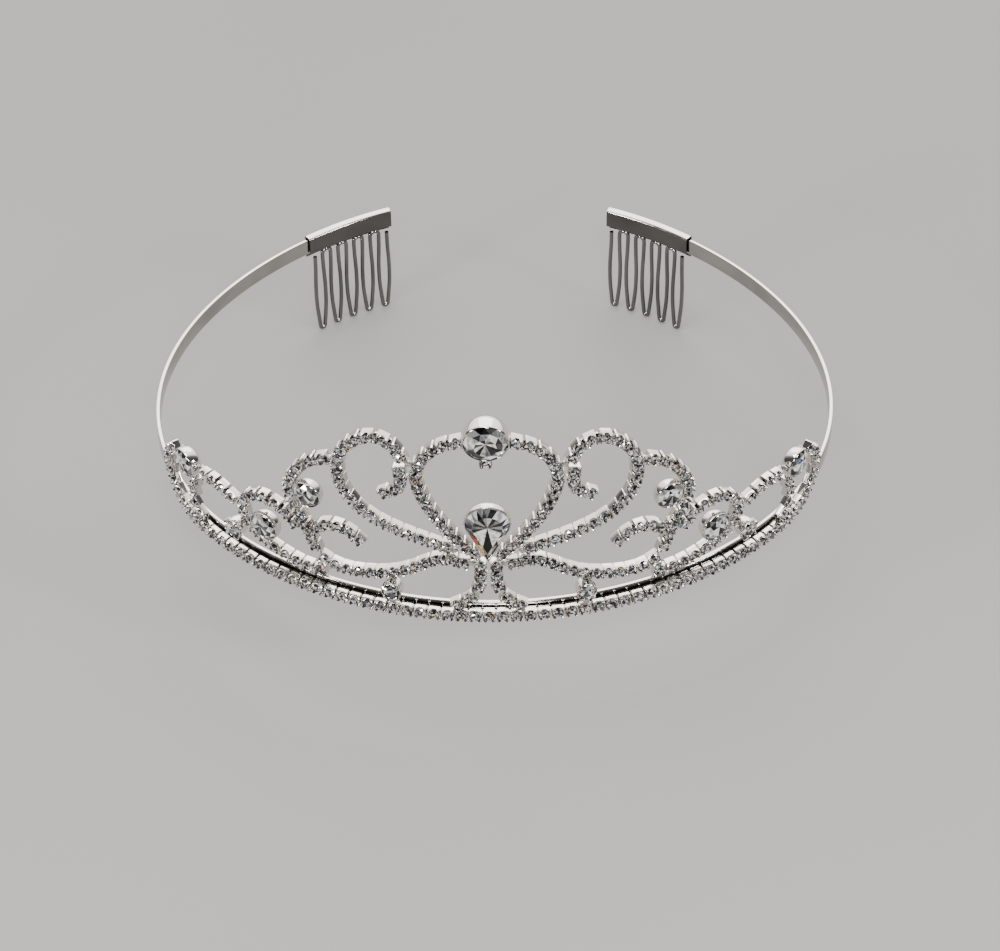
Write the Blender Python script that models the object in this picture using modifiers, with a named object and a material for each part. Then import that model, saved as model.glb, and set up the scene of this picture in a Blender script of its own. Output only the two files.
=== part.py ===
"""Bridal tiara: a flat spring headband with two wire side combs and a front ornament of rhinestone cup chain.

Every strand is laid out on a surface that stands on the headband: "along" is the distance round the band from
the middle of the front, and "up" is the height over the band's top edge. Left is the wearer's right, at -X.
The front faces -Y, the comb tips stand on Z = 0, and lengths are in millimetres until mm() makes them metres.
"""

import math

import bmesh
import bpy
import numpy as np
from mathutils import Matrix, Vector

# Headband: a flat strip bent to a horseshoe, as a polar curve with four cosine waves on its radius
BAND_RADIUS = 65.0
BAND_WAVES = (-1.7, -2.0, -0.8, 0.5)
BAND_THICK = 0.8
BAND_HEIGHT = 3.6
BAND_END = 180.0  # along the band, from the middle of the front to each end
BAND_STEPS = 76

# Ornament surface: it leans out from the middle of the band's thickness
LEAN = 0.07
CLEAR = 0.3  # gap between pieces that are soldered or pressed together

# Cup chain: square claw cups on a thin link
PITCH = 2.5
CUP_LENGTH = 1.8
CUP_WIDTH = 2.2
CUP_DEPTH = 1.9
LINK_WIDTH = 1.2
CHAIN_OUT = BAND_THICK + CLEAR + CUP_DEPTH / 2  # middle of the base chain, in front of the band

# The base chain runs along the band's outer face and turns up over the band at each end
BASE_UP = -2.1
BASE_END = ((60.0, BASE_UP), (64.0, -1.9), (67.6, -0.9), (70.6, 1.0), (72.5, 3.6), (73.1, 6.4), (72.2, 9.1),
            (70.4, 11.1))

# Strands of the right half as (along, up); the left half mirrors them
STRANDS = {
    "heart_chain": ((5.0, 41.7), (7.3, 40.8), (9.6, 39.0), (11.4, 36.4), (12.3, 33.5), (12.4, 31.0),
                    (11.9, 28.5), (10.7, 25.2), (9.0, 21.9), (7.1, 18.9), (5.0, 16.1), (2.7, 13.4)),
    "petal_chain": ((15.0, 36.7), (16.4, 39.2), (19.0, 40.6), (21.9, 39.9), (24.5, 37.6), (26.3, 34.6),
                    (27.0, 31.2), (26.8, 27.8), (25.7, 24.8), (23.6, 22.0), (20.8, 19.8), (17.4, 18.1),
                    (13.8, 16.7), (10.4, 15.5), (7.6, 14.4)),
    "petal_curl": ((15.4, 33.0), (15.3, 30.6), (16.1, 28.5), (18.3, 27.0)),
    "leaf_chain": ((4.5, 10.4), (7.0, 11.1), (9.6, 10.8), (12.0, 9.5), (14.3, 7.9), (16.8, 6.5), (19.4, 5.5),
                   (22.0, 4.8), (24.6, 4.3), (27.2, 4.1), (29.6, 4.4), (31.5, 5.2)),
    "hook_chain": ((32.2, 13.4), (30.3, 14.7), (28.0, 15.1), (25.9, 14.4), (24.2, 12.9)),
    "loop_chain": ((29.7, 32.1), (31.8, 31.0), (33.8, 29.2), (35.5, 26.9), (36.9, 24.4), (37.7, 21.7),
                   (37.6, 19.1), (36.7, 16.6), (35.6, 14.4), (34.7, 12.1), (34.0, 9.9), (33.4, 7.9)),
    "scroll_chain": ((37.6, 12.0), (39.4, 14.1), (41.7, 15.3), (44.3, 15.5), (46.8, 14.5), (48.9, 12.4),
                     (49.9, 9.8), (49.5, 7.1), (47.9, 5.1), (45.6, 3.8), (43.1, 2.9), (40.5, 2.2),
                     (37.9, 1.7), (35.3, 1.5), (32.8, 1.5)),
    "link_chain": ((52.9, 10.3), (55.4, 11.1), (57.9, 11.3), (60.2, 10.9)),
}

# Stems that stand the strands on the band: their feet step out in front of it, over the base chain
STEMS = {
    "centre_stem": ((1.5, 9.9), (1.5, 7.2), (1.8, 4.6), (3.2, 2.4), (5.6, 0.85)),
    "end_stem": ((65.0, 6.3), (65.2, 4.1), (64.2, 2.0), (61.9, 0.7)),
}
STEM_FOOT, STEM_KNEE = 1.0, 5.5  # heights between which a stem steps out
STEM_OUT = CHAIN_OUT + 0.1

# A single cup under the middle crystal, a little in front of the strands
NOTCH_CUP = ((-0.1, 37.9), (0.1, 37.9))
NOTCH_OUT = 1.0

# Round crystals in cup settings as (along, up, radius of the setting, out from the strands' middle)
ROUNDS = {
    "centre": (0.0, 44.5, 4.3, 1.5),
    "upper": (33.2, 22.4, 3.0, 0.3),
    "middle": (43.8, 8.9, 3.2, 0.3),
    "end": (65.3, 11.4, 3.2, 0.3),
    "front_bridge": (17.9, 2.4, 2.0, 1.3),
    "side_bridge": (51.9, 3.5, 2.1, 1.1),
}
ROUND_SIDES = 16
SETTING_WALL = 0.4
SEAT_DEPTH = 0.7  # how deep a round crystal's seat lies below the rim

# Pear crystal between the halves of the heart, point down
PEAR_UP = 22.6
PEAR_RADIUS = 4.4
PEAR_TIP = 10.3  # from the middle of the round end to the point
PEAR_BACK = -0.9
PEAR_RIM = 2.0
PEAR_SIDES = 18

# Side combs: one wire bent to five closed loops, its top held with the band's end in a folded sleeve
COMB_DROP = 25.5
SLEEVE_LENGTH = 20.0
SLEEVE_WALL = 0.3
SLEEVE_BELOW = (3.4, 5.0)  # how far the inner and outer walls reach below the band's top edge
TEETH = 5
TOOTH_PITCH = 3.9
TOOTH_FIRST = 2.6  # from the sleeve's front end to the middle of the first tooth
# Half the width of a tooth, at each distance below the arcs
TOOTH_HALF = ((0.0, 0.95), (3.5, 1.0), (8.5, 1.2), (13.0, 1.15), (16.6, 0.85), (18.9, 0.6))
WIRE_RADIUS = 0.45

# Middle of the whole piece, front to back, in the band curve's own coordinates
MIDDLE_Y = -3.4


def mm(*values):
    return Vector(values) * 0.001


def material(name, color, metallic, roughness, transmission=0.0):
    made = bpy.data.materials.new(name)
    made.use_nodes = True
    shader = made.node_tree.nodes["Principled BSDF"]
    shader.inputs["Base Color"].default_value = (*color, 1.0)
    shader.inputs["Metallic"].default_value = metallic
    shader.inputs["Roughness"].default_value = roughness
    shader.inputs["Transmission Weight"].default_value = transmission
    return made


def keep(name, mesh_or_curve, surface):
    """A new object of the tiara with its own copy of the material."""
    made = bpy.data.objects.new(name, mesh_or_curve)
    mesh_or_curve.materials.append(surface.copy())
    mesh_or_curve.materials[0].name = name
    tiara.objects.link(made)
    return made


# The band's curve, measured once: angle, distance along and plan position
angles = np.radians(np.arange(-175.0, 175.01, 0.25))
radii = BAND_RADIUS + sum(wave * np.cos((k + 1) * angles) for k, wave in enumerate(BAND_WAVES))
plan_x, plan_y = radii * np.sin(angles), -radii * np.cos(angles)
walked = np.concatenate([[0.0], np.cumsum(np.hypot(np.diff(plan_x), np.diff(plan_y)))])
walked -= np.interp(0.0, angles, walked)
slope_x, slope_y = np.gradient(plan_x, walked), np.gradient(plan_y, walked)


def heading(along):
    """Unit vectors at a place on the band: forward along it, and outward from it."""
    x, y = float(np.interp(along, walked, slope_x)), float(np.interp(along, walked, slope_y))
    forward = Vector((x, y, 0.0)).normalized()
    return forward, Vector((forward.y, -forward.x, 0.0))


def at(along, up, out):
    """A point beside the band, in millimetres from the piece's own origin."""
    x, y = float(np.interp(along, walked, plan_x)), float(np.interp(along, walked, plan_y))
    outward = heading(along)[1]
    return Vector((x, y - MIDDLE_Y, up + COMB_DROP)) + outward * out


def strand_out(up):
    return BAND_THICK / 2 + LEAN * up


def notch_out(up):
    return strand_out(up) + NOTCH_OUT


def base_out(up):
    return CHAIN_OUT


def stem_out(up):
    step = min(1.0, max(0.0, (STEM_KNEE - up) / (STEM_KNEE - STEM_FOOT)))
    return strand_out(up) + (STEM_OUT - strand_out(up)) * step


def spaced(points, step):
    """Points at even steps along a smooth curve through the given ones, and the directions there."""
    fine = []
    points = [np.array(point) for point in points]
    ends = [2 * points[0] - points[1], *points, 2 * points[-1] - points[-2]]
    for a, b, c, d in zip(ends, ends[1:], ends[2:], ends[3:]):
        for t in np.arange(0.0, 1.0, 0.05):
            square, cube = 2 * a - 5 * b + 4 * c - d, 3 * b - a - 3 * c + d
            fine.append(0.5 * (2 * b + (c - a) * t + square * t**2 + cube * t**3))
    fine = np.array([*fine, ends[-2]])
    lengths = np.concatenate([[0.0], np.cumsum(np.linalg.norm(np.diff(fine, axis=0), axis=1))])
    count = round(lengths[-1] / step) + 1
    stops = np.linspace(0.0, lengths[-1], count)
    places = np.column_stack([np.interp(stops, lengths, fine[:, k]) for k in (0, 1)])
    ahead = np.column_stack([np.interp(stops + 0.2, lengths, fine[:, k]) for k in (0, 1)])
    behind = np.column_stack([np.interp(stops - 0.2, lengths, fine[:, k]) for k in (0, 1)])
    return places, ahead - behind


def tube(name, rings, surface):
    """A closed body through four-cornered rings, flat at both ends."""
    shape = bmesh.new()
    corners = [[shape.verts.new(point * 0.001) for point in ring] for ring in rings]
    for first, second in zip(corners, corners[1:]):
        for k in range(4):
            shape.faces.new((first[k], first[k - 1], second[k - 1], second[k]))
    shape.faces.new(corners[0])
    shape.faces.new(reversed(corners[-1]))
    bmesh.ops.recalc_face_normals(shape, faces=shape.faces)
    mesh = bpy.data.meshes.new(name)
    shape.to_mesh(mesh)
    shape.free()
    keep(name, mesh, surface)


def ring(centre, side, outward, half_side, half_out):
    corners = ((-1, -1), (1, -1), (1, 1), (-1, 1))
    return [centre + side * (half_side * a) + outward * (half_out * b) for a, b in corners]


def chain(name, points, side_sign, out_of):
    """A strand of cups that keeps facing out as it winds over the ornament's surface."""
    places, ways = spaced(points, PITCH)
    frames = []
    for (along, up), (go_along, go_up) in zip(places, ways):
        forward, outward = heading(side_sign * along)
        outward = (outward + Vector((0, 0, 0 if out_of is base_out else -LEAN))).normalized()
        way = (forward * (side_sign * go_along) + Vector((0, 0, go_up))).normalized()
        side = outward.cross(way).normalized()
        frames.append((at(side_sign * along, up, out_of(up)), side, outward, side.cross(outward)))
    rings = []
    for k, (centre, side, outward, way) in enumerate(frames):
        if k:
            before = frames[k - 1]
            turned = (before[1] + side).normalized()
            rings.append(ring((before[0] + centre) / 2, turned, outward, LINK_WIDTH / 2, CUP_DEPTH / 2 - 0.3))
        for step in (-CUP_LENGTH / 2, CUP_LENGTH / 2):
            rings.append(ring(centre + way * step, side, outward, CUP_WIDTH / 2, CUP_DEPTH / 2))
    tube(name, rings, silver)


def headband():
    half_up, half_out = BAND_HEIGHT / 2, BAND_THICK / 2
    rings = []
    for along in np.linspace(-BAND_END, BAND_END, BAND_STEPS + 1):
        middle = at(along, -half_up, half_out)
        rings.append(ring(middle, Vector((0, 0, 1)), heading(along)[1], half_up, half_out))
    tube("headband", rings, silver)


def facing(along, up, out):
    """The placement whose Z axis points out of the ornament's surface and whose Y axis points up it."""
    outward = (heading(along)[1] + Vector((0, 0, -LEAN))).normalized()
    level = Vector((0, 0, 1)).cross(outward).normalized()
    axes = Matrix((level, outward.cross(level), outward)).transposed()
    return Matrix.Translation(at(along, up, out) * 0.001) @ axes.to_4x4()


def turned(name, profile, place, surface):
    """A round body from its profile of (radius, height), read from the front middle down the outer side."""
    mesh = bpy.data.meshes.new(name)
    mesh.from_pydata([mm(r, 0, z) for r, z in profile], [(k, k + 1) for k in range(len(profile) - 1)], [])
    made = keep(name, mesh, surface)
    screw = made.modifiers.new("Turn", "SCREW")
    screw.steps = screw.render_steps = ROUND_SIDES
    screw.use_merge_vertices = True
    screw.merge_threshold = 0.00001
    screw.use_smooth_shade = True
    made.matrix_world = place


def round_crystal(name, along, up, radius, proud):
    """A cup setting with a domed side, and the crystal in it."""
    place = facing(along, up, strand_out(up) + proud)
    rim = 0.42 * radius + 0.2
    back = -CUP_DEPTH / 2 - proud
    bore, seat = radius - SETTING_WALL, rim - SEAT_DEPTH
    cup = ((0, seat), (bore, seat), (bore, rim), (radius - 0.1, rim), (radius, rim - 0.5),
           (0.95 * radius, 0.4 * back), (0.6 * radius, back), (0, back))
    turned(name + "_setting", cup, place, silver)
    girdle, table = bore - CLEAR, rim + 0.24 * radius
    low = seat + CLEAR
    stone = ((0, table), (0.55 * girdle, table), (girdle, rim - 0.1), (girdle, low), (0, low))
    turned(name + "_stone", stone, place, crystal)


def pear_outline(radius, tip):
    """Points round a pear: an arc, and two straight sides that meet at a point below it."""
    lean = math.asin(radius / tip)
    turns = np.linspace(-lean, math.pi + lean, PEAR_SIDES)
    return [(radius * math.cos(turn), radius * math.sin(turn)) for turn in turns] + [(0.0, -tip)]


def pear(name, layers, surface):
    """A closed body through pear outlines, each given as (inset from the setting's edge, height)."""
    shape = bmesh.new()
    stretch = PEAR_TIP / PEAR_RADIUS
    loops = []
    for inset, z in layers:
        outline = pear_outline(PEAR_RADIUS - inset, PEAR_TIP - inset * stretch)
        loops.append([shape.verts.new(mm(x, y, z)) for x, y in outline])
    for lower, upper in zip(loops, loops[1:]):
        for k in range(len(lower)):
            shape.faces.new((lower[k - 1], lower[k], upper[k], upper[k - 1]))
    shape.faces.new(loops[0])
    shape.faces.new(loops[-1])
    bmesh.ops.recalc_face_normals(shape, faces=shape.faces)
    mesh = bpy.data.meshes.new(name)
    shape.to_mesh(mesh)
    shape.free()
    keep(name, mesh, surface).matrix_world = facing(0.0, PEAR_UP, strand_out(PEAR_UP))


def comb(name, side_sign):
    """The sleeve folded over the band's end, and the wire comb whose top arcs it holds."""
    front = BAND_END + CLEAR - SLEEVE_LENGTH
    middle = BAND_THICK / 2
    slot = BAND_THICK / 2 + CLEAR
    outer = slot + SLEEVE_WALL
    top = CLEAR + SLEEVE_WALL
    shape = bmesh.new()
    inside, outside = SLEEVE_BELOW
    section = ((-outer, -inside), (-outer, top), (outer, top), (outer, -outside), (slot, -outside),
               (slot, CLEAR), (-slot, CLEAR), (-slot, -inside))
    loops = []
    for along in np.linspace(front, front + SLEEVE_LENGTH, 6):
        corners = [at(side_sign * along, up, middle + out) for out, up in section]
        loops.append([shape.verts.new(corner * 0.001) for corner in corners])
    for first, second in zip(loops, loops[1:]):
        for k in range(len(section)):
            shape.faces.new((first[k], first[k - 1], second[k - 1], second[k]))
    shape.faces.new(loops[0])
    shape.faces.new(reversed(loops[-1]))
    bmesh.ops.recalc_face_normals(shape, faces=shape.faces)
    mesh = bpy.data.meshes.new("comb_sleeve_" + name)
    shape.to_mesh(mesh)
    shape.free()
    keep("comb_sleeve_" + name, mesh, silver)

    arc_up = -BAND_HEIGHT - CLEAR - WIRE_RADIUS
    arc_radius = TOOTH_PITCH / 2 - TOOTH_HALF[0][1]
    path = []
    for tooth in range(TEETH):
        centre = front + TOOTH_FIRST + tooth * TOOTH_PITCH
        legs = [(half, arc_up - arc_radius - below) for below, half in TOOTH_HALF]
        tip_up = WIRE_RADIUS * math.cos(math.radians(30)) - COMB_DROP
        bend = legs[-1][0]
        turns = np.radians((30, 60, 90))
        side = legs + [(bend * math.cos(turn), tip_up + bend - bend * math.sin(turn)) for turn in turns]
        path += [(centre - half, up) for half, up in side]
        path += [(centre + half, up) for half, up in reversed(side[:-1])]
        if tooth < TEETH - 1:
            arc = centre + TOOTH_PITCH / 2
            path += [(arc - arc_radius * math.cos(turn), arc_up - arc_radius * (1 - math.sin(turn)))
                     for turn in np.radians((45, 90, 135))]
    curve = bpy.data.curves.new("comb_wire_" + name, "CURVE")
    curve.dimensions = "3D"
    curve.bevel_depth = WIRE_RADIUS * 0.001
    curve.bevel_resolution = 1
    curve.use_fill_caps = True
    spline = curve.splines.new("POLY")
    spline.points.add(len(path) - 1)
    for point, (along, up) in zip(spline.points, path):
        point.co = (*(at(side_sign * along, up, middle) * 0.001), 1.0)
    keep("comb_wire_" + name, curve, silver)


for old in list(bpy.data.objects):
    bpy.data.objects.remove(old)
tiara = bpy.data.collections.new("tiara")
bpy.context.scene.collection.children.link(tiara)
silver = material("silver_plate", (0.86, 0.86, 0.87), 1.0, 0.12)
crystal = material("crystal", (0.95, 0.97, 1.0), 0.0, 0.02, 1.0)

headband()
right_end = list(BASE_END)
left_end = [(-along, up) for along, up in reversed(BASE_END)]
across = [(along, BASE_UP) for along in range(-50, 51, 10)]
chain("base_chain", left_end + across + right_end, 1, base_out)
for side_name, sign in (("left", -1), ("right", 1)):
    comb(side_name, sign)
    for strand_name, strand_points in STRANDS.items():
        chain(f"{strand_name}_{side_name}", strand_points, sign, strand_out)
    for stem_name, stem_points in STEMS.items():
        chain(f"{stem_name}_{side_name}", stem_points, sign, stem_out)
    for round_name, (along, up, radius, proud) in ROUNDS.items():
        if round_name != "centre":
            round_crystal(f"{round_name}_{side_name}", sign * along, up, radius, proud)
round_crystal("centre", *ROUNDS["centre"])
chain("notch_cup", NOTCH_CUP, 1, notch_out)
pear("pear_setting", ((2.0, PEAR_BACK), (0.5, -0.2), (0.0, PEAR_RIM - 0.6), (0.1, PEAR_RIM),
                      (SETTING_WALL, PEAR_RIM), (SETTING_WALL, PEAR_RIM - 0.8)), silver)
girdle_inset = SETTING_WALL + CLEAR
pear("pear_stone", ((girdle_inset, PEAR_RIM - 0.5), (girdle_inset, PEAR_RIM), (2.2, PEAR_RIM + 1.0)), crystal)
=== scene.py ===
"""Bridal tiara, as seen: claw cups with cut crystals, domed settings, a plated headband and two wire combs.

The layout repeats part.py: "along" is the distance round the headband from the middle of its front, "up" is
the height over its top edge, and "out" is the distance out from its inner face. Lengths are in millimetres
until MM makes them metres.
"""

import math

import bpy
import numpy as np
from mathutils import Matrix, Vector


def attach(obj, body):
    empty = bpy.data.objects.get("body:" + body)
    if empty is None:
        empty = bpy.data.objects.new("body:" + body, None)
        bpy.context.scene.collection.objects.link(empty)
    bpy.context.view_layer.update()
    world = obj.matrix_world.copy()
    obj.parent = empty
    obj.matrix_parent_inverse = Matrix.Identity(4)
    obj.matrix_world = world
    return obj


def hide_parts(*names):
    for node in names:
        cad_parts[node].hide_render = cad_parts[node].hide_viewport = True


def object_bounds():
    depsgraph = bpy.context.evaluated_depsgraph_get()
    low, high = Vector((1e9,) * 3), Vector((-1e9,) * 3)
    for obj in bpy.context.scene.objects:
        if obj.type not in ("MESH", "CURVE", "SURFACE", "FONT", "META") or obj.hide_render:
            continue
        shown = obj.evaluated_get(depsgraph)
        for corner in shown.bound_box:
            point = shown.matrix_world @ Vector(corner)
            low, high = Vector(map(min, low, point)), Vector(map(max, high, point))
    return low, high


MM = 0.001

# Headband: a flat strip bent to a horseshoe, as a polar curve with four cosine waves on its radius
BAND_RADIUS = 65.0
BAND_WAVES = (-1.7, -2.0, -0.8, 0.5)
BAND_THICK = 0.8
BAND_HEIGHT = 3.6
BAND_END = 180.0  # along the band, from the middle of the front to each end

# Ornament surface: it leans out from the middle of the band's thickness
LEAN = 0.07
CLEAR = 0.3  # gap between pieces that are soldered or pressed together

# Cup chain: square claw cups on a thin link
PITCH = 2.5
CUP_DEPTH = 1.9
CHAIN_OUT = BAND_THICK + CLEAR + CUP_DEPTH / 2  # middle of the base chain, in front of the band

# The base chain runs along the band's outer face and turns up over the band at each end
BASE_UP = -2.1
BASE_END = ((60.0, BASE_UP), (64.0, -1.9), (67.6, -0.9), (70.6, 1.0), (72.5, 3.6), (73.1, 6.4), (72.2, 9.1),
            (70.4, 11.1))

# Strands of the right half as (along, up); the left half mirrors them
STRANDS = {
    "heart_chain": ((5.0, 41.7), (7.3, 40.8), (9.6, 39.0), (11.4, 36.4), (12.3, 33.5), (12.4, 31.0),
                    (11.9, 28.5), (10.7, 25.2), (9.0, 21.9), (7.1, 18.9), (5.0, 16.1), (2.7, 13.4)),
    "petal_chain": ((15.0, 36.7), (16.4, 39.2), (19.0, 40.6), (21.9, 39.9), (24.5, 37.6), (26.3, 34.6),
                    (27.0, 31.2), (26.8, 27.8), (25.7, 24.8), (23.6, 22.0), (20.8, 19.8), (17.4, 18.1),
                    (13.8, 16.7), (10.4, 15.5), (7.6, 14.4)),
    "petal_curl": ((15.4, 33.0), (15.3, 30.6), (16.1, 28.5), (18.3, 27.0)),
    "leaf_chain": ((4.5, 10.4), (7.0, 11.1), (9.6, 10.8), (12.0, 9.5), (14.3, 7.9), (16.8, 6.5), (19.4, 5.5),
                   (22.0, 4.8), (24.6, 4.3), (27.2, 4.1), (29.6, 4.4), (31.5, 5.2)),
    "hook_chain": ((32.2, 13.4), (30.3, 14.7), (28.0, 15.1), (25.9, 14.4), (24.2, 12.9)),
    "loop_chain": ((29.7, 32.1), (31.8, 31.0), (33.8, 29.2), (35.5, 26.9), (36.9, 24.4), (37.7, 21.7),
                   (37.6, 19.1), (36.7, 16.6), (35.6, 14.4), (34.7, 12.1), (34.0, 9.9), (33.4, 7.9)),
    "scroll_chain": ((37.6, 12.0), (39.4, 14.1), (41.7, 15.3), (44.3, 15.5), (46.8, 14.5), (48.9, 12.4),
                     (49.9, 9.8), (49.5, 7.1), (47.9, 5.1), (45.6, 3.8), (43.1, 2.9), (40.5, 2.2),
                     (37.9, 1.7), (35.3, 1.5), (32.8, 1.5)),
    "link_chain": ((52.9, 10.3), (55.4, 11.1), (57.9, 11.3), (60.2, 10.9)),
}

# Stems that stand the strands on the band: their feet step out in front of it, over the base chain
STEMS = {
    "centre_stem": ((1.5, 9.9), (1.5, 7.2), (1.8, 4.6), (3.2, 2.4), (5.6, 0.85)),
    "end_stem": ((65.0, 6.3), (65.2, 4.1), (64.2, 2.0), (61.9, 0.7)),
}
STEM_FOOT, STEM_KNEE = 1.0, 5.5  # heights between which a stem steps out
STEM_OUT = CHAIN_OUT + 0.1

# A single cup under the middle crystal, a little in front of the strands
NOTCH_CUP = ((-0.1, 37.9), (0.1, 37.9))
NOTCH_OUT = 1.0

# Round crystals in cup settings as (along, up, radius of the setting, out from the strands' middle)
ROUNDS = {
    "centre": (0.0, 44.5, 4.3, 1.5),
    "upper": (33.2, 22.4, 3.0, 0.3),
    "middle": (43.8, 8.9, 3.2, 0.3),
    "end": (65.3, 11.4, 3.2, 0.3),
    "front_bridge": (17.9, 2.4, 2.0, 1.3),
    "side_bridge": (51.9, 3.5, 2.1, 1.1),
}

# Pear crystal between the halves of the heart, point down
PEAR_UP = 22.6
PEAR_RADIUS = 4.4
PEAR_TIP = 10.3  # from the middle of the round end to the point
PEAR_BACK = -0.9
PEAR_RIM = 2.0

# Side combs: one wire bent to five closed loops, its top held with the band's end in a folded sleeve
COMB_DROP = 25.5
SLEEVE_LENGTH = 20.0
SLEEVE_WALL = 0.3
SLEEVE_BELOW = (3.4, 5.0)  # how far the inner and outer walls reach below the band's top edge
TEETH = 5
TOOTH_PITCH = 3.9
TOOTH_FIRST = 2.6  # from the sleeve's front end to the middle of the first tooth
# Half the width of a tooth, at each distance below the arcs
TOOTH_HALF = ((0.0, 0.95), (3.5, 1.0), (8.5, 1.2), (13.0, 1.15), (16.6, 0.85), (18.9, 0.6))
WIRE_RADIUS = 0.45

# Middle of the whole piece, front to back, in the band curve's own coordinates
MIDDLE_Y = -3.4

# Beads of solder where pieces meet, as (along, up, out from the strands' middle)
SOLDER = (
    (13.9, 34.9, -0.4), (28.4, 32.2, -0.4), (36.2, 12.4, -0.4), (33.4, 12.9, -0.4), (32.7, 6.5, -0.4),
    (51.4, 10.0, -0.4), (2.0, 11.7, -0.4), (6.3, 13.2, -0.4), (3.1, 10.3, -0.2), (3.9, 42.0, -0.6),
    (35.9, 22.2, -0.4), (43.8, 13.4, -0.4), (62.0, 11.2, -0.4), (68.9, 11.4, -0.4), (65.1, 7.8, -0.4),
    (17.8, 4.7, -0.3), (45.0, 4.4, -0.5), (50.6, 5.4, -0.4), (33.0, 3.3, -0.4), (5.6, -0.4, 0.6),
    (61.9, -0.5, 0.6), (34.4, 0.3, 0.3), (37.4, 0.4, 0.3), (17.9, -0.2, 1.6), (51.9, 0.9, 1.4),
    (1.3, 39.6, 0.4),
)


def strand_out(up):
    return BAND_THICK / 2 + LEAN * up


def notch_out(up):
    return strand_out(up) + NOTCH_OUT


def base_out(up):
    return CHAIN_OUT


def stem_out(up):
    step = min(1.0, max(0.0, (STEM_KNEE - up) / (STEM_KNEE - STEM_FOOT)))
    return strand_out(up) + (STEM_OUT - strand_out(up)) * step


# The band's curve, measured once: angle, distance along and plan position
angles = np.radians(np.arange(-175.0, 175.01, 0.25))
radii = BAND_RADIUS + sum(wave * np.cos((k + 1) * angles) for k, wave in enumerate(BAND_WAVES))
plan_x, plan_y = radii * np.sin(angles), -radii * np.cos(angles)
walked = np.concatenate([[0.0], np.cumsum(np.hypot(np.diff(plan_x), np.diff(plan_y)))])
walked -= np.interp(0.0, angles, walked)
slope_x, slope_y = np.gradient(plan_x, walked), np.gradient(plan_y, walked)


def heading(along):
    """Unit vectors at a place on the band: forward along it, and outward from it."""
    x, y = float(np.interp(along, walked, slope_x)), float(np.interp(along, walked, slope_y))
    forward = Vector((x, y, 0.0)).normalized()
    return forward, Vector((forward.y, -forward.x, 0.0))


def at(along, up, out):
    """A point beside the band, in millimetres from the piece's own origin."""
    x, y = float(np.interp(along, walked, plan_x)), float(np.interp(along, walked, plan_y))
    outward = heading(along)[1]
    return Vector((x, y - MIDDLE_Y, up + COMB_DROP)) + outward * out


def smooth(points):
    """A fine smooth curve through the given points."""
    points = [np.array(point, float) for point in points]
    ends = [2 * points[0] - points[1], *points, 2 * points[-1] - points[-2]]
    fine = []
    for a, b, c, d in zip(ends, ends[1:], ends[2:], ends[3:]):
        square, cube = 2 * a - 5 * b + 4 * c - d, 3 * b - a - 3 * c + d
        for t in np.arange(0.0, 1.0, 0.05):
            fine.append(0.5 * (2 * b + (c - a) * t + square * t**2 + cube * t**3))
    return np.array([*fine, points[-1]])


def spaced(points, step):
    """Points at even steps along a smooth curve through the given ones, and the directions there."""
    fine = smooth(points)
    lengths = np.concatenate([[0.0], np.cumsum(np.linalg.norm(np.diff(fine, axis=0), axis=1))])
    stops = np.linspace(0.0, lengths[-1], round(lengths[-1] / step) + 1)
    here, ahead, behind = (np.column_stack([np.interp(stops + shift, lengths, fine[:, k]) for k in (0, 1)])
                           for shift in (0.0, 0.2, -0.2))
    return here, ahead - behind


# ---------------------------------------------------------------- materials

# Noise scales, per metre
TARNISH, POLISH, RUBS = 90.0, 400.0, 1500.0
# the first crystal scale sets the size of the painted shadow patches inside a crystal
CRYSTAL_SHADOW_SCALE, CRYSTAL_POLISH = 1100.0, 900.0
FLOOR_CLOUDS = 3.0

NOISE_RANGE = (0.3, 0.7)  # where most of a noise's values lie
# painted highlight range: the lit tint fades in across these normal heights
LOOKS_UP = (0.25, 0.70)  # from an upright face to a face that looks up, as the Z of its normal


def new_material(name):
    made = bpy.data.materials.new(name)
    made.use_nodes = True
    return made, made.node_tree.nodes, made.node_tree.links, made.node_tree.nodes["Principled BSDF"]


def noise(nodes, links, scale, detail=3.0):
    place = nodes.new("ShaderNodeTexCoord")
    made = nodes.new("ShaderNodeTexNoise")
    made.inputs["Scale"].default_value = scale
    made.inputs["Detail"].default_value = detail
    links.new(place.outputs["Object"], made.inputs["Vector"])
    return made.outputs["Fac"]


def ramp(nodes, links, value, stops):
    """A colour for each value, through stops of (value, colour)."""
    made = nodes.new("ShaderNodeValToRGB")
    for element, (position, color) in zip(made.color_ramp.elements, (stops[0], stops[-1])):
        element.position, element.color = position, (*color, 1.0)
    for position, color in stops[1:-1]:
        made.color_ramp.elements.new(position).color = (*color, 1.0)
    links.new(value, made.inputs["Fac"])
    return made.outputs["Color"]


def spread(nodes, links, value, low, high, between=NOISE_RANGE):
    """A value that runs from low to high while the given one runs between two limits."""
    made = nodes.new("ShaderNodeMapRange")
    made.inputs["From Min"].default_value, made.inputs["From Max"].default_value = between
    made.inputs["To Min"].default_value = low
    made.inputs["To Max"].default_value = high
    links.new(value, made.inputs["Value"])
    return made.outputs["Result"]


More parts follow.
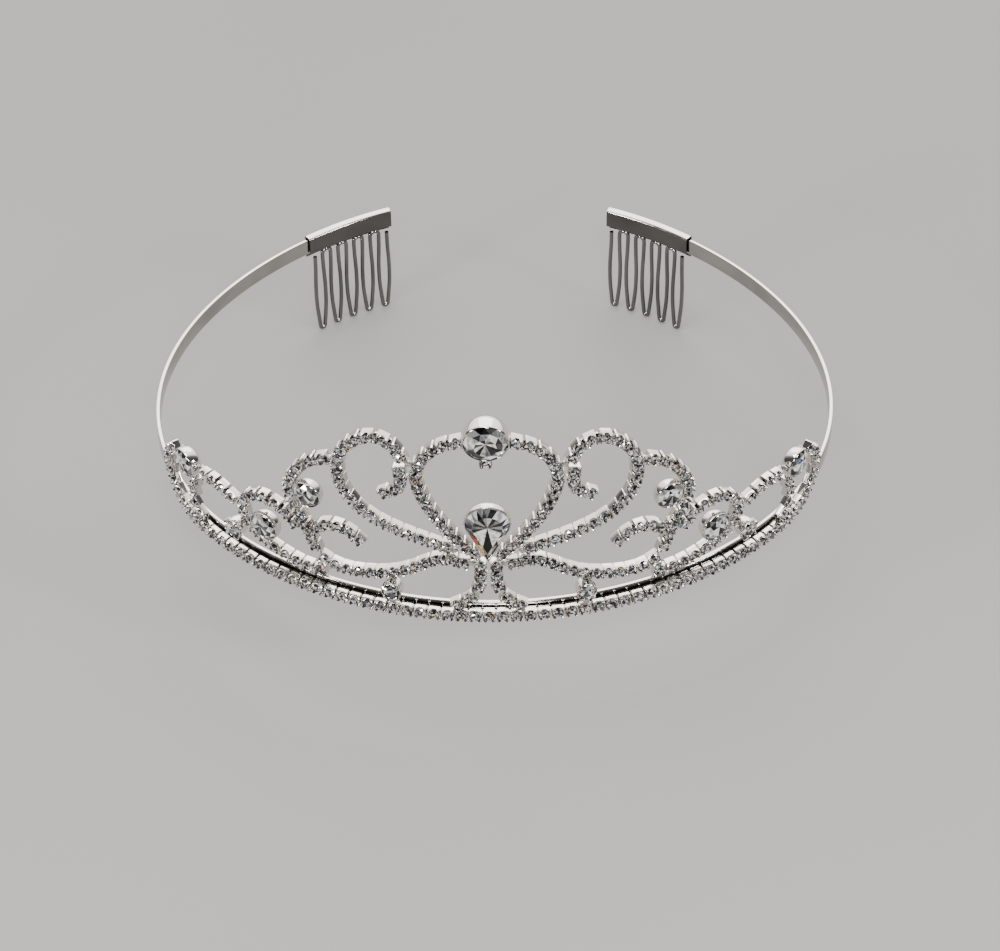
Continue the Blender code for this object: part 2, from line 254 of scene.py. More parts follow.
def plated(name, shaded_tint, lit_tint, smooth_low, smooth_high, wear, grain):
    """Silver plate with faint cloudy tarnish, uneven polish and fine rubbed marks, and painted light: faces
    that look up get a brighter painted highlight colour, the rest a darker painted shade tint."""
    made, nodes, links, shader = new_material(name)
    shader.inputs["Metallic"].default_value = 1.0
    dull = tuple(share * wear for share in shaded_tint)
    cloudy = ramp(nodes, links, noise(nodes, links, TARNISH), ((0.3, dull), (0.55, shaded_tint), (0.8, shaded_tint)))
    # painted light: faces blend from the shaded tint to the lit tint as their normals turn to look up
    split = nodes.new("ShaderNodeSeparateXYZ")
    links.new(nodes.new("ShaderNodeNewGeometry").outputs["Normal"], split.inputs["Vector"])
    mix = nodes.new("ShaderNodeMix")
    mix.data_type = "RGBA"
    links.new(spread(nodes, links, split.outputs["Z"], 0.0, 1.0, LOOKS_UP), mix.inputs["Factor"])
    links.new(cloudy, mix.inputs["A"])
    mix.inputs["B"].default_value = (*lit_tint, 1.0)
    links.new(mix.outputs["Result"], shader.inputs["Base Color"])
    uneven = spread(nodes, links, noise(nodes, links, POLISH, 5.0), smooth_low, smooth_high)
    links.new(uneven, shader.inputs["Roughness"])
    bump = nodes.new("ShaderNodeBump")
    bump.inputs["Strength"].default_value = 0.15
    bump.inputs["Distance"].default_value = grain * MM
    links.new(noise(nodes, links, RUBS, 4.0), bump.inputs["Height"])
    links.new(bump.outputs["Normal"], shader.inputs["Normal"])
    return made


def foiled_crystal(name):
    """Cut crystal with a mirror foil behind it, under a clear, hard polish: each facet's colour is painted
    light, a fixed bright or dark tone that stands in for its reflections.
    """
    made, nodes, links, shader = new_material(name)
    shader.inputs["Metallic"].default_value = 1.0
    shader.inputs["Coat Weight"].default_value = 0.3
    shader.inputs["Coat Roughness"].default_value = 0.01
    shader.inputs["Coat IOR"].default_value = 1.6
    # each facet's painted light, read from the mesh
    facet_light = nodes.new("ShaderNodeAttribute")
    facet_light.attribute_name = "facet_light"
    mix = nodes.new("ShaderNodeMix")
    mix.data_type = "RGBA"
    mix.blend_type = "MULTIPLY"
    mix.inputs["Factor"].default_value = 1.0
    # painted shadows: darker patches inside the crystal, multiplied over the facets' painted light
    shadows = ((0.38, (0.45, 0.46, 0.48)), (0.5, (1.0, 1.0, 1.0)))
    links.new(facet_light.outputs["Color"], mix.inputs["A"])
    links.new(ramp(nodes, links, noise(nodes, links, CRYSTAL_SHADOW_SCALE, 2.0), shadows), mix.inputs["B"])
    links.new(mix.outputs["Result"], shader.inputs["Base Color"])
    # painted glow: the facets' painted light also shines as emission, standing in for the light that a cut
    # stone gathers from all round and sends back through its bright facets
    links.new(mix.outputs["Result"], shader.inputs["Emission Color"])
    shader.inputs["Emission Strength"].default_value = 0.35
    uneven = spread(nodes, links, noise(nodes, links, CRYSTAL_POLISH), 0.01, 0.06)
    links.new(uneven, shader.inputs["Roughness"])
    return made


# ---------------------------------------------------------------- mesh helpers

class Batch:
    """Collects vertices and faces for one piece, in millimetres."""

    def __init__(self):
        self.points, self.faces, self.facet_lights = [], [], []

    def add(self, points, faces, place=None, facet_lights=None):
        base = len(self.points)
        self.points += [tuple(place @ Vector(p)) if place else tuple(p) for p in points]
        self.faces += [tuple(base + k for k in face) for face in faces]
        self.facet_lights += facet_lights or []

    def piece(self, name, material, replaces=(), finish="silver_plate", sharp=35.0):
        mesh = bpy.data.meshes.new(name)
        mesh.from_pydata([(x * MM, y * MM, z * MM) for x, y, z in self.points], [], self.faces)
        # each facet's painted light colour goes on its corners
        if self.facet_lights:
            layer = mesh.attributes.new("facet_light", "FLOAT_COLOR", "CORNER")
            for face, facet_light in zip(mesh.polygons, self.facet_lights):
                for corner in face.loop_indices:
                    layer.data[corner].color = (*facet_light, 1.0)
        mesh.materials.append(material)
        mesh.shade_smooth()
        mesh.set_sharp_from_angle(angle=math.radians(sharp))
        made = bpy.data.objects.new(name, mesh)
        bpy.context.scene.collection.objects.link(made)
        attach(made, "root")
        if replaces:
            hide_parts(*replaces)


def skin(rings):
    """A closed body: faces that join rings of equal length in order, and one over each end."""
    count = len(rings[0])
    points = [p for ring in rings for p in ring]
    faces = []
    for r in range(len(rings) - 1):
        for k in range(count):
            a, b = r * count + k, r * count + (k + 1) % count
            faces.append((a, b, b + count, a + count))
    faces.append(tuple(reversed(range(count))))
    faces.append(tuple(range(len(points) - count, len(points))))
    return points, faces


def frame_of(centre, side, way, outward):
    """Placement with X across the strand, Y along it and Z outward."""
    made = Matrix((side, way, outward)).transposed().to_4x4()
    made.translation = centre
    return made


def facing(along, up, out):
    """Placement on the leaning surface, with Y up it and Z outward."""
    outward = (heading(along)[1] + Vector((0, 0, -LEAN))).normalized()
    level = Vector((0, 0, 1)).cross(outward).normalized()
    return frame_of(at(along, up, out), level, outward.cross(level), outward)


def scatter(k):
    """A repeatable number from 0 to 1."""
    value = math.sin(12.9898 * k + 4.1414) * 43758.5453
    return value - math.floor(value)


# ---------------------------------------------------------------- cut stones

# Painted facet light: dark and bright colours that stand in for a foiled crystal's reflections, and colours
# of painted fire
DARKS = ((0.012, 0.012, 0.014), (0.03, 0.03, 0.032), (0.08, 0.08, 0.085), (0.20, 0.20, 0.21))
LIGHTS = ((0.50, 0.49, 0.47), (0.80, 0.79, 0.77), (1.0, 0.98, 0.94), (1.0, 1.0, 1.0))
FIRE = ((0.95, 0.38, 0.03), (0.60, 0.06, 0.02), (0.10, 0.26, 0.06), (0.90, 0.62, 0.10), (0.16, 0.26, 0.60))
SMALL_FIRE, ROUND_FIRE = 0.012, 0.01  # shares of facets that flash a colour
UNEVEN = 0.35  # how far the heights of a stone's inner corners stray from even

# Painted brightness of the pear's long middle facets, from the point round by the right
PEAR_FAN = (0.01, 0.90, 1.0, 0.05, 0.30, 0.03, 0.22, 0.03, 0.60,
            0.30, 0.02, 0.35, 0.05, 0.25, 0.04, 1.0, 0.95, 0.01)


def pick(facet_lights, chance):
    """One of the tones, by chance."""
    return facet_lights[int(scatter(chance) * (len(facet_lights) - 0.001))]


def pick_facet_light(chance, light):
    """A painted bright or dark facet, by chance: "light" is the share of bright ones."""
    return pick(LIGHTS if scatter(chance) < light else DARKS, chance + 0.37)


def small_facet_lights(seed):
    """Painted light for a small stone: its facets go dark and light in turn, and a few flash a painted
    colour.
    """
    def facet_light(k, x, y):
        chance = seed * 57.3 + 1.7 * k
        if scatter(chance + 0.5) < SMALL_FIRE:
            return pick(FIRE, chance)
        return pick_facet_light(chance, 0.60 if k % 2 else 0.14)
    return facet_light


def round_facet_lights(seed):
    """Painted light for a large round stone: lighter facets in its upper half, and dark ones with small
    painted sparks below.
    """
    def facet_light(k, x, y):
        chance = seed * 57.3 + 1.7 * k
        if scatter(chance + 0.5) < ROUND_FIRE:
            return pick(FIRE, chance)
        return pick_facet_light(chance, (0.66 if y > 0 else 0.26) + (0.2 if k % 2 else -0.2))
    return facet_light


def pear_facet_light(k, x, y):
    """Painted light on the pear: long dark and bright painted facets meet in the middle, and painted colours
    flash low on the left edge.
    """
    if k < len(PEAR_FAN):
        return (PEAR_FAN[k], PEAR_FAN[k], 0.97 * PEAR_FAN[k])
    if x < -0.9 and -6.5 < y < -2.0:
        return FIRE[k % 4]
    return pick_facet_light(3.1 * k + 0.7, 0.45)


def cut_stone(outline, count, rings, girdle, foot, seed, facet_light, apex=0.0):
    """A stone as rings of facets about its middle. A ring is (share of the outline, height), and each is
    turned by half a facet against the last; the first is the point where the middle facets meet, "apex" above
    the middle. Below them come the straight girdle and the smaller foot, which are given as heights."""
    points, faces = [(0.0, apex, rings[0][1])], []
    for level, (share, height) in enumerate(rings[1:]):
        turn = -math.pi / 2 + (level % 2) * math.pi / count
        for k in range(count):
            x, y = outline(turn + 2 * math.pi * k / count)
            stray = UNEVEN * (1 - share) * (scatter(seed + 7.7 * k + level) - 0.5)
            points.append((x * share, y * share, height + stray))
    for k in range(count):
        faces.append((0, 1 + k, 1 + (k + 1) % count))
    for level in range(len(rings) - 2):
        low, high = 1 + level * count, 1 + (level + 1) * count
        for k in range(count):
            after = (k + 1) % count
            if level % 2 == 0:
                faces += [(low + k, high + k, low + after), (high + k, high + after, low + after)]
            else:
                faces += [(low + k, high + k, high + after), (low + k, high + after, low + after)]
    edge = 1 + (len(rings) - 2) * count
    last = -math.pi / 2 + ((len(rings) - 2) % 2) * math.pi / count
    for share, height in ((1.0, girdle), (0.7, foot)):
        start = len(points)
        for k in range(count):
            x, y = outline(last + 2 * math.pi * k / count)
            points.append((x * share, y * share, height))
        for k in range(count):
            after = (k + 1) % count
            faces.append((edge + k, start + k, start + after, edge + after))
        edge = start
    faces.append(tuple(reversed(range(edge, edge + count))))
    # each facet's painted light, from its place and a repeatable chance
    facet_lights = []
    for k, face in enumerate(faces):
        x, y = (sum(points[corner][axis] for corner in face) / len(face) for axis in (0, 1))
        facet_lights.append(facet_light(k, x, y))
    return points, faces, facet_lights


def circle(radius):
    return lambda turn: (radius * math.cos(turn), radius * math.sin(turn))


# ---------------------------------------------------------------- cup chain

CUP_HALF = (1.24, 1.20)  # half the visible size of a cup, across and along the strand
CLAW = 0.62  # beyond this share of the half size, the wall rises into a claw
WALL_SHARES = (-0.84, -0.62, -0.30, 0.30, 0.62, 0.84)  # corners along a wall, as shares of the half size

# A cup's wall from below, up its outside, over the edge and down its inside. Each level has the scale and
# height of a claw, then the scale and height of the dip between two claws
CUP_LEVELS = (
    (0.90, -0.95, 0.90, -0.95), (0.98, -0.90, 0.98, -0.90), (1.0, -0.78, 1.0, -0.78), (1.0, 0.10, 1.0, 0.05),
    (0.97, 0.62, 0.99, 0.26), (0.88, 0.92, 0.96, 0.32), (0.76, 1.02, 0.92, 0.32), (0.71, 0.93, 0.88, 0.24),
    (0.82, 0.30, 0.84, 0.0), (0.78, -0.25, 0.78, -0.25),
)

# Small stones: rings of facets, size, place over the cup's middle, and how far each is tipped and turned
SMALL_RINGS = ((0, 0.50), (0.42, 0.50), (0.78, 0.34), (1.0, 0.06))
SMALL_RADIUS = 1.05
SMALL_SIDES = 8
SMALL_GIRDLE, SMALL_FOOT = 0.0, -0.5
SMALL_SEAT = 0.44
SMALL_TIP = 0.12
SMALL_TURN = 6.3

# Links between cups: section as (across, out), depth behind the cups' middle, and reach from it
LINK_SECTION = ((-0.35, -0.16), (0.35, -0.16), (0.35, 0.16), (-0.35, 0.16))
LINK_DEPTH = 0.72
LINK_REACH = 0.99


def cup_shape():
    """One square cup: folded walls that dip between four corner claws, bent in over the stone."""
    outline = []
    for quarter in range(4):
        c, s = round(math.cos(quarter * math.pi / 2)), round(math.sin(quarter * math.pi / 2))
        for share in reversed(WALL_SHARES):
            outline.append((share * c - s, share * s + c, abs(share) >= CLAW))
    across, lengthwise = CUP_HALF
    rings = []
    for claw_scale, claw_up, dip_scale, dip_up in CUP_LEVELS:
        ring = []
        for x, y, is_claw in outline:
            scale, up = (claw_scale, claw_up) if is_claw else (dip_scale, dip_up)
            ring.append((x * across * scale, y * lengthwise * scale, up))
        rings.append(ring)
    points, faces = skin(rings)
    return points, [tuple(reversed(face)) for face in faces]


CUP = cup_shape()


def chain(name, strand, sign, out_of, node):
    """One strand: its cups and links as one piece, and its crystals as another."""
    places, ways = spaced(strand, PITCH)
    cups, stones = Batch(), Batch()
    seats = []
    for (along, up), (go_along, go_up) in zip(places, ways):
        forward, outward = heading(sign * along)
        outward = (outward + Vector((0, 0, 0 if out_of is base_out else -LEAN))).normalized()
        way = (forward * (sign * go_along) + Vector((0, 0, go_up))).normalized()
        side = way.cross(outward).normalized()
        seats.append(frame_of(at(sign * along, up, out_of(up)), side, outward.cross(side), outward))
    for k, seat in enumerate(seats):
        cups.add(*CUP, place=seat)
        # each stone sits a little turned and tipped in its cup, by amounts that repeat along the strand
        seed = k + 17.0 * len(name) + sign * places[k][0]
        tip_x, tip_y = (SMALL_TIP * (scatter(seed + shift) - 0.5) for shift in (0, 9))
        turned = Matrix.Rotation(SMALL_TURN * scatter(seed + 2), 4, "Z")
        tipped = Matrix.Rotation(tip_x, 4, "X") @ Matrix.Rotation(tip_y, 4, "Y") @ turned
        points, faces, facet_lights = cut_stone(circle(SMALL_RADIUS), SMALL_SIDES, SMALL_RINGS, SMALL_GIRDLE,
                                         SMALL_FOOT, seed, small_facet_lights(seed))
        stones.add(points, faces, seat @ Matrix.Translation((0, 0, SMALL_SEAT)) @ tipped, facet_lights)
        if k:
            ends = [place @ Vector((0, reach, -LINK_DEPTH))
                    for place, reach in ((seats[k - 1], LINK_REACH), (seat, -LINK_REACH))]
            side, outward = seat.to_3x3().col[0], seat.to_3x3().col[2]
            cups.add(*skin([[end + side * x + outward * z for x, z in LINK_SECTION] for end in ends]))
    cups.piece(name + "_cups", chain_metal, (node,))
    stones.piece(name + "_crystals", small_crystal, (), "crystal", 1.0)


# ---------------------------------------------------------------- large crystals

# Rolled rim of a round setting, from outside to inside: how far it is drawn in, and how far below the top
RIM_ROLL = ((0.02, 0.2), (0.08, 0.06), (0.15, 0.0), (0.22, 0.04), (0.27, 0.14), (0.30, 0.7))
CLAWED_BELOW = 2.5  # settings of a smaller radius have four claws
STONE_GIRDLE, STONE_FOOT = -0.1, -0.45
STONE_SEAT = 0.2  # how far below its rim a large stone's edge lies
ROUND_GAP, PEAR_GAP = 0.32, 0.36  # between the outside of a setting and its stone

# Side of the pear's setting, as (how far it is drawn in, height)
PEAR_LAYERS = (
    (2.2, PEAR_BACK), (1.9, PEAR_BACK + 0.05), (1.1, -0.5), (0.45, 0.0), (0.12, 0.6), (0.0, 1.1), (0.0, 1.6),
    (0.04, 1.85), (0.12, PEAR_RIM), (0.24, PEAR_RIM - 0.02), (0.32, PEAR_RIM - 0.12), (0.38, 1.2),
)
PEAR_STRAIGHT = 0.16  # share of the way round that each straight side takes
PEAR_MIDDLE = -1.2  # where its long facets are drawn from, below the middle of the round end
PEAR_STRETCH = PEAR_TIP / PEAR_RADIUS


def stack(outline, layers, count):
    """A closed body through rings of an outline that is drawn in by a given amount at each height."""
    turns = [2 * math.pi * k / count for k in range(count)]
    return skin([[(*outline(turn, inset), z) for turn in turns] for inset, z in layers])


def claw(radius, turn, low, high, reach):
    """A round claw that rises at a rim and bends in over the stone."""
    path = ((radius - 0.05, low), (radius + 0.02, (low + high) / 2), (radius - 0.03, high - 0.2),
            (radius - 0.25, high), (radius - reach, high - 0.02))
    rings = []
    for k, (r, z) in enumerate(path):
        thick = 0.28 if k < 3 else 0.22
        before, after = path[max(0, k - 1)], path[min(len(path) - 1, k + 1)]
        dr, dz = after[0] - before[0], after[1] - before[1]
        size = math.hypot(dr, dz)
        ring = []
        for j in range(8):
            a, b = thick * math.cos(j * math.pi / 4), thick * math.sin(j * math.pi / 4)
            far = r + b * dz / size
            x, y = far * math.cos(turn) - a * math.sin(turn), far * math.sin(turn) + a * math.cos(turn)
            ring.append((x, y, z - b * dr / size))
        rings.append(ring)
    return skin(rings)


def round_crystal(name, along, up, radius, proud):
    """A setting with a domed side and a rolled rim, and the round stone in it."""
    place = facing(along, up, strand_out(up) + proud)
    rim, back = 0.42 * radius + 0.2, -CUP_DEPTH / 2 - proud
    low, high = back + 0.14, rim - 0.4

    def edge(turn, inset):
        return (radius - inset) * math.cos(turn), (radius - inset) * math.sin(turn)

    layers = [(0.52 * radius, back), (0.42 * radius, back + 0.03), (0.36 * radius, low)]
    for share in np.linspace(0.12, 1.0, 11):
        swell = (1 - (1 - share) ** 2.2) ** 0.5
        layers.append((0.34 * radius * (1 - swell), low + (high - low) * share))
    layers += [(inset, rim - drop) for inset, drop in RIM_ROLL]
    metal, stone = Batch(), Batch()
    metal.add(*stack(edge, layers, 64), place=place)
    if radius < CLAWED_BELOW:
        for k in range(4):
            metal.add(*claw(radius - 0.1, math.pi / 4 + k * math.pi / 2, 0.0, rim + 0.42, 0.62), place=place)
    metal.piece(name + "_cup", bezel_metal, (name + "_setting",))
    count = 12 if radius > 4 else 10 if radius > 2.5 else 8  # a larger stone has more sides
    crown, seed = 0.30 * radius, 31.0 + 3.3 * along + up
    rings = ((0, crown), (0.52, crown), (0.80, 0.66 * crown), (1.0, 0.05))
    points, faces, facet_lights = cut_stone(circle(radius - ROUND_GAP), count, rings, STONE_GIRDLE, STONE_FOOT, seed,
                                     round_facet_lights(seed), 0.25 * radius)
    stone.add(points, faces, place @ Matrix.Translation((0, 0, rim - STONE_SEAT)), facet_lights)
    stone.piece(name + "_crystal", large_crystal, (name + "_stone",), "crystal", 1.0)


def pear_point(turn, inset):
    """A point of the pear's edge, drawn in by "inset", at a turn about the middle of the round end."""
    radius, tip = PEAR_RADIUS - inset, PEAR_TIP - inset * PEAR_STRETCH
    lean = math.asin(radius / tip)
    share = ((turn + math.pi / 2) % (2 * math.pi)) / (2 * math.pi)
    low_x, low_y = radius * math.cos(-lean), radius * math.sin(-lean)
    if share < PEAR_STRAIGHT:
        mix = share / PEAR_STRAIGHT
        return low_x * mix, -tip + (low_y + tip) * mix
    if share > 1 - PEAR_STRAIGHT:
        mix = (1 - share) / PEAR_STRAIGHT
        return -low_x * mix, -tip + (low_y + tip) * mix
    turned = -lean + (math.pi + 2 * lean) * (share - PEAR_STRAIGHT) / (1 - 2 * PEAR_STRAIGHT)
    return radius * math.cos(turned), radius * math.sin(turned)


def pear_crystal():
    """The pear's setting and stone, point down."""
    place = facing(0.0, PEAR_UP, strand_out(PEAR_UP))
    metal, stone = Batch(), Batch()
    metal.add(*stack(pear_point, PEAR_LAYERS, 96), place=place)
    metal.piece("pear_cup", bezel_metal, ("pear_setting",))

    def edge(turn):
        return np.array(pear_point(turn, PEAR_GAP)) - (0.0, PEAR_MIDDLE)

    rings = ((0, 0.95), (0.70, 0.90), (1.0, 0.05))
    points, faces, facet_lights = cut_stone(edge, len(PEAR_FAN), rings, STONE_GIRDLE, STONE_FOOT, 12.0, pear_facet_light,
                                     1.1)
    stone.add(points, faces, place @ Matrix.Translation((0, PEAR_MIDDLE, PEAR_RIM - STONE_SEAT)), facet_lights)
    stone.piece("pear_crystal", large_crystal, ("pear_stone",), "crystal", 1.0)


# ---------------------------------------------------------------- headband, combs and solder

BAND_CORNER = 0.22
SLEEVE_CORNER = 0.5
SLEEVE_STRAIGHT = 1.6  # below this depth the sleeve's outer wall bends in where it is pinched
SLEEVE_PINCH = 0.16
BEAD_RADIUS = 0.75
# A bead, as (height, share of its radius)
BEAD_LEVELS = ((-0.5, 0.35), (-0.38, 0.7), (-0.15, 0.95), (0.1, 1.0), (0.35, 0.8), (0.5, 0.4))


def rounded(half_out, half_up, corner, steps=4):
    """A rectangle with rounded corners, as (out, up)."""
    section = []
    for quarter, (a, b) in enumerate(((1, 1), (-1, 1), (-1, -1), (1, -1))):
        for k in range(steps + 1):
            turn = (quarter + k / steps) * math.pi / 2
            out = a * (half_out - corner) + corner * math.cos(turn)
            section.append((out, b * (half_up - corner) + corner * math.sin(turn)))
    return section


def headband():
    section = rounded(BAND_THICK / 2, BAND_HEIGHT / 2, BAND_CORNER)
    rings = [[at(along, up - BAND_HEIGHT / 2, out + BAND_THICK / 2) for out, up in section]
             for along in np.linspace(-BAND_END, BAND_END, 361)]
    band = Batch()
    band.add(*skin(rings))
    band.piece("headband_strip", band_metal, ("headband",))


def sleeve(side_name, sign):
    """A sheet folded over the band's end and pinched in over the comb between its teeth."""
    front, middle = BAND_END + CLEAR - SLEEVE_LENGTH, BAND_THICK / 2
    outer, top = BAND_THICK / 2 + CLEAR + SLEEVE_WALL, CLEAR + SLEEVE_WALL
    inner_low, outer_low = SLEEVE_BELOW
    bend = [(outer - SLEEVE_CORNER * (1 - math.cos(turn)), top - SLEEVE_CORNER * (1 - math.sin(turn)))
            for turn in np.radians((0, 30, 60, 90))]
    rings = []
    for along in np.linspace(front, front + SLEEVE_LENGTH, 61):
        tooth = (along - front - TOOTH_FIRST) / TOOTH_PITCH
        pinch = 0.0
        if -0.2 < tooth < TEETH - 0.8:
            pinch = SLEEVE_PINCH * max(0.0, math.cos(2 * math.pi * (tooth - 0.5))) ** 2
        outside = [(-outer, -inner_low), (-outer, -SLEEVE_STRAIGHT), *[(-out, up) for out, up in bend],
                   *reversed(bend), (outer, -SLEEVE_STRAIGHT), (outer - 0.7 * pinch, -outer_low + 1.0),
                   (outer - pinch, -outer_low)]
        inside = [(out - math.copysign(SLEEVE_WALL, out), min(up, CLEAR)) for out, up in reversed(outside)]
        rings.append([at(sign * along, up, middle + out) for out, up in outside + inside])
    made = Batch()
    made.add(*skin(rings))
    made.piece(f"comb_sleeve_folded_{side_name}", sleeve_metal, (f"comb_sleeve_{side_name}",))


def comb_wire(side_name, sign):
    """One wire bent to a row of closed loops, with a small arc between each two."""
    front = BAND_END + CLEAR - SLEEVE_LENGTH
    arc_up = -BAND_HEIGHT - CLEAR - WIRE_RADIUS
    arc_radius = TOOTH_PITCH / 2 - TOOTH_HALF[0][1]
    tip_up, bend = WIRE_RADIUS - COMB_DROP, TOOTH_HALF[-1][1]
    side = [(half, arc_up - arc_radius - below) for below, half in TOOTH_HALF]
    for turn in np.radians((30, 60, 90)):
        side.append((bend * math.cos(turn), tip_up + bend - bend * math.sin(turn)))
    path = []
    for tooth in range(TEETH):
        centre = front + TOOTH_FIRST + tooth * TOOTH_PITCH
        path += [(centre - half, up) for half, up in side]
        path += [(centre + half, up) for half, up in reversed(side[:-1])]
        if tooth < TEETH - 1:
            arc = centre + TOOTH_PITCH / 2
            for turn in np.radians((45, 90, 135)):
                path.append((arc - arc_radius * math.cos(turn), arc_up - arc_radius * (1 - math.sin(turn))))
    fine = smooth(path)[::4]
    curve = bpy.data.curves.new(f"comb_teeth_{side_name}", "CURVE")
    curve.dimensions = "3D"
    curve.bevel_depth = WIRE_RADIUS * MM
    curve.bevel_resolution = 4
    curve.use_fill_caps = True
    spline = curve.splines.new("POLY")
    spline.points.add(len(fine) - 1)
    for point, (along, up) in zip(spline.points, fine):
        point.co = (*(at(sign * along, up, BAND_THICK / 2) * MM), 1.0)
    spline.use_smooth = True
    curve.materials.append(wire_metal)
    made = bpy.data.objects.new(curve.name, curve)
    bpy.context.scene.collection.objects.link(made)
    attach(made, "root")
    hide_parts(f"comb_wire_{side_name}")


def solder(side_name, sign):
    """Smooth flattened beads of solder, each a little out of round."""
    beads = Batch()
    for k, (along, up, out) in enumerate(SOLDER):
        rings = []
        for z, share in BEAD_LEVELS:
            radius = share * BEAD_RADIUS
            rings.append([(radius * math.cos(t) * (1 + 0.15 * math.sin(3 * t + k)), radius * math.sin(t), z)
                          for t in np.linspace(0, 2 * math.pi, 16, endpoint=False)])
        beads.add(*skin(rings), place=facing(sign * along, up, strand_out(up) + out))
    beads.piece(f"solder_{side_name}", solder_metal, (), "silver_plate", 60.0)


# ---------------------------------------------------------------- scene

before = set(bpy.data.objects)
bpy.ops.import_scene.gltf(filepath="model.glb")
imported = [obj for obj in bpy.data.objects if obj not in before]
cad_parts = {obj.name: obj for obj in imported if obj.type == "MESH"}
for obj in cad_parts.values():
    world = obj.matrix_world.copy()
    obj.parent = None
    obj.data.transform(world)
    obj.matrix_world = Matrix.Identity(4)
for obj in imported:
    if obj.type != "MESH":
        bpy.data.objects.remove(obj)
cad_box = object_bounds()

# Each plate's first colour is darker than the silver's own tint: painted shade for faces that do not look up,
# darkest on the headband, sleeves and comb wires as painted dark reflections. The second is the painted
# highlight colour for faces that look up.
chain_metal = plated("chain_plate", (0.62, 0.60, 0.57), (0.97, 0.94, 0.90), 0.08, 0.18, 0.80, 0.010)
bezel_metal = plated("setting_plate", (0.72, 0.70, 0.67), (0.97, 0.95, 0.91), 0.03, 0.08, 0.90, 0.004)
band_metal = plated("headband_plate", (0.38, 0.37, 0.355), (0.95, 0.92, 0.87), 0.07, 0.16, 0.80, 0.012)
sleeve_metal = plated("sleeve_plate", (0.13, 0.127, 0.122), (0.92, 0.89, 0.84), 0.10, 0.22, 0.72, 0.012)
wire_metal = plated("comb_plate", (0.20, 0.197, 0.192), (0.90, 0.89, 0.87), 0.05, 0.12, 0.70, 0.006)
solder_metal = plated("solder_metal", (0.58, 0.57, 0.56), (0.85, 0.84, 0.82), 0.20, 0.36, 0.80, 0.030)
small_crystal = foiled_crystal("chain_crystal")
large_crystal = foiled_crystal("setting_crystal")

headband()
right_end = list(BASE_END)
left_end = [(-along, up) for along, up in reversed(BASE_END)]
across = [(along, BASE_UP) for along in range(-50, 51, 10)]
chain("base_chain", left_end + across + right_end, 1, base_out, "base_chain")
chain("notch", NOTCH_CUP, 1, notch_out, "notch_cup")
for side_name, sign in (("left", -1), ("right", 1)):
    sleeve(side_name, sign)
    comb_wire(side_name, sign)
    solder(side_name, sign)
    for strand_name, strand_points in STRANDS.items():
        chain(f"{strand_name}_{side_name}", strand_points, sign, strand_out, f"{strand_name}_{side_name}")
    for stem_name, stem_points in STEMS.items():
        chain(f"{stem_name}_{side_name}", stem_points, sign, stem_out, f"{stem_name}_{side_name}")
    for round_name, (along, up, radius, proud) in ROUNDS.items():
        if round_name != "centre":
            round_crystal(f"{round_name}_{side_name}", sign * along, up, radius, proud)
round_crystal("centre", *ROUNDS["centre"])
pear_crystal()

# Floor, in metres
FLOOR_HALF = 6.0
floor_mesh = bpy.data.meshes.new("floor")
corners = [(x * FLOOR_HALF, y * FLOOR_HALF, 0.0) for x, y in ((-1, -1), (1, -1), (1, 1), (-1, 1))]
floor_mesh.from_pydata(corners, [], [(0, 1, 2, 3)])
floor = bpy.data.objects.new("floor", floor_mesh)
bpy.context.scene.collection.objects.link(floor)
floor_look, nodes, links, shader = new_material("pale_floor")
floor_stops = ((0.3, (0.42, 0.41, 0.40)), (0.7, (0.46, 0.45, 0.44)))
links.new(ramp(nodes, links, noise(nodes, links, FLOOR_CLOUDS), floor_stops), shader.inputs["Base Color"])
shader.inputs["Roughness"].default_value = 0.9
shader.inputs["Specular IOR Level"].default_value = 0.05
floor_mesh.materials.append(floor_look)

# Studio: a plain backdrop, an even light room, and for reflections a room that is bright high at the back
world = bpy.data.worlds.new("studio")
world.use_nodes = True
bpy.context.scene.world = world
nodes, links = world.node_tree.nodes, world.node_tree.links
sky = nodes["Background"]
place = nodes.new("ShaderNodeTexCoord")
toward = nodes.new("ShaderNodeVectorMath")
toward.operation = "DOT_PRODUCT"
toward.inputs[1].default_value = (0.0, 0.8, 0.6)
links.new(place.outputs["Generated"], toward.inputs[0])
sky_stops = ((0.30, (0.03, 0.03, 0.03)), (0.50, (0.12, 0.12, 0.12)), (0.68, (0.75, 0.71, 0.66)),
             (0.9, (1.0, 0.94, 0.86)))
links.new(ramp(nodes, links, toward.outputs["Value"], sky_stops), sky.inputs["Color"])
sky.inputs["Strength"].default_value = 2.2
room = nodes.new("ShaderNodeBackground")
room.inputs["Color"].default_value = (0.90, 0.885, 0.87, 1.0)
backdrop = nodes.new("ShaderNodeBackground")
backdrop.inputs["Color"].default_value = (0.40, 0.39, 0.38, 1.0)
path = nodes.new("ShaderNodeLightPath")
seen, lit = nodes.new("ShaderNodeMixShader"), nodes.new("ShaderNodeMixShader")
links.new(path.outputs["Is Camera Ray"], seen.inputs["Fac"])
links.new(room.outputs["Background"], seen.inputs[1])
links.new(backdrop.outputs["Background"], seen.inputs[2])
links.new(path.outputs["Is Glossy Ray"], lit.inputs["Fac"])
links.new(seen.outputs["Shader"], lit.inputs[1])
links.new(sky.outputs["Background"], lit.inputs[2])
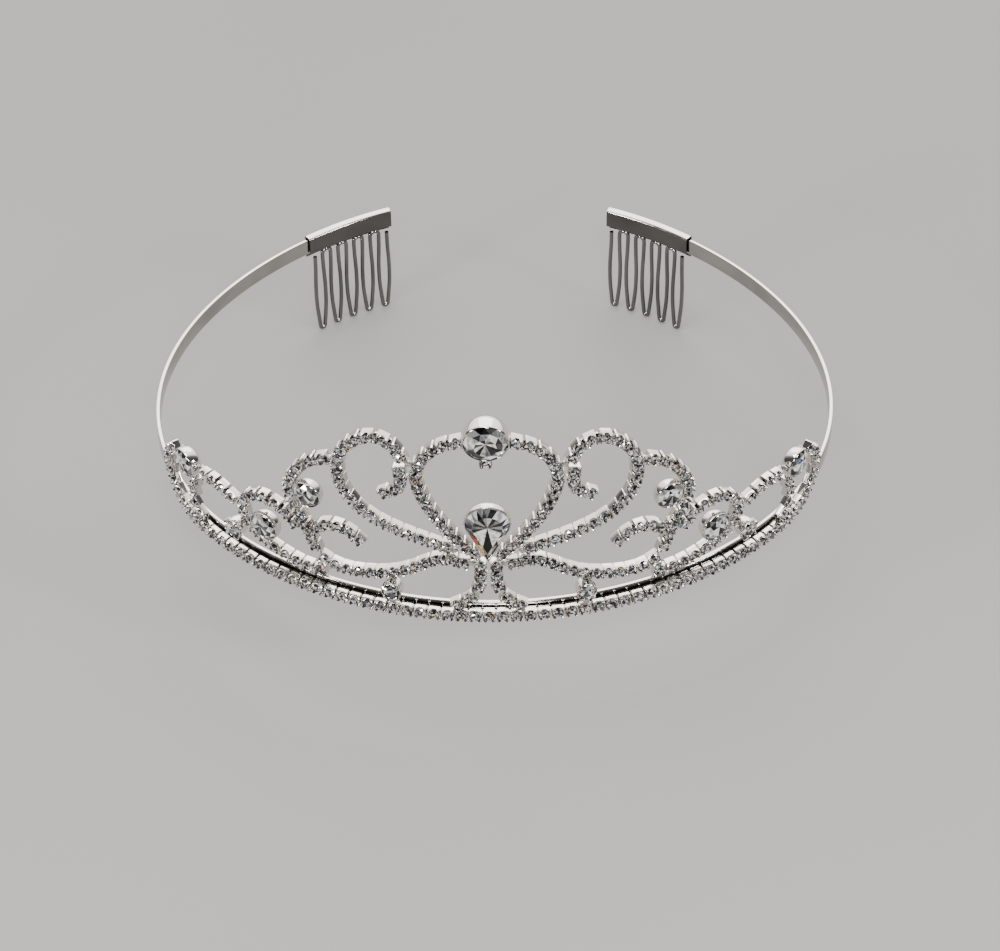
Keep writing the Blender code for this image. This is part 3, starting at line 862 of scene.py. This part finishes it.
links.new(lit.outputs["Shader"], nodes["World Output"].inputs["Surface"])

# Soft lights, in metres: name, place, size, watts and colour; each is aimed at the middle of the tiara
SOFT_LIGHTS = (
    ("back_top", (0.0, 0.62, 0.58), 0.62, 2.0, (1.0, 0.96, 0.91)),
    ("top", (-0.10, -0.05, 0.80), 0.35, 2.0, (1.0, 0.98, 0.95)),
    ("front_top", (0.05, -0.62, 0.62), 0.20, 2.0, (1.0, 0.99, 0.97)),
    ("front_left", (-0.60, -0.50, 0.30), 0.16, 2.2, (1.0, 0.98, 0.96)),
    ("front_right", (0.65, -0.35, 0.40), 0.14, 1.8, (0.96, 0.98, 1.0)),
)
AIM_HEIGHT = 0.03
middle = Vector(((cad_box[0][0] + cad_box[1][0]) / 2, (cad_box[0][1] + cad_box[1][1]) / 2, AIM_HEIGHT))
for name, position, size, watts, color in SOFT_LIGHTS:
    light = bpy.data.lights.new(name, "AREA")
    light.size, light.energy, light.color = size, watts, color
    made = bpy.data.objects.new(name, light)
    made.location = position
    made.rotation_euler = (middle - Vector(position)).to_track_quat("-Z", "Y").to_euler()
    made.visible_camera = False
    bpy.context.scene.collection.objects.link(made)

# Camera: place in metres, turns in degrees and lens in millimetres
CAMERA_PLACE = (0.0127, -0.4905, 0.4354)
CAMERA_TURNS = (-1.37, 41.19, -0.85)  # to the right, down and about the view
CAMERA_LENS = 114.2
yaw, pitch, roll = (math.radians(turn) for turn in CAMERA_TURNS)
forward = Vector((math.sin(yaw) * math.cos(pitch), math.cos(yaw) * math.cos(pitch), -math.sin(pitch)))
level = Vector((math.cos(yaw), -math.sin(yaw), 0.0))
upward = level.cross(forward)
right = level * math.cos(roll) + upward * math.sin(roll)
top = upward * math.cos(roll) - level * math.sin(roll)
camera_data = bpy.data.cameras.new("camera")
camera_data.lens = CAMERA_LENS
camera_data.sensor_width = 36.0
camera = bpy.data.objects.new("camera", camera_data)
camera.matrix_world = frame_of(Vector(CAMERA_PLACE), right, top, -forward)
bpy.context.scene.collection.objects.link(camera)
bpy.context.scene.camera = camera
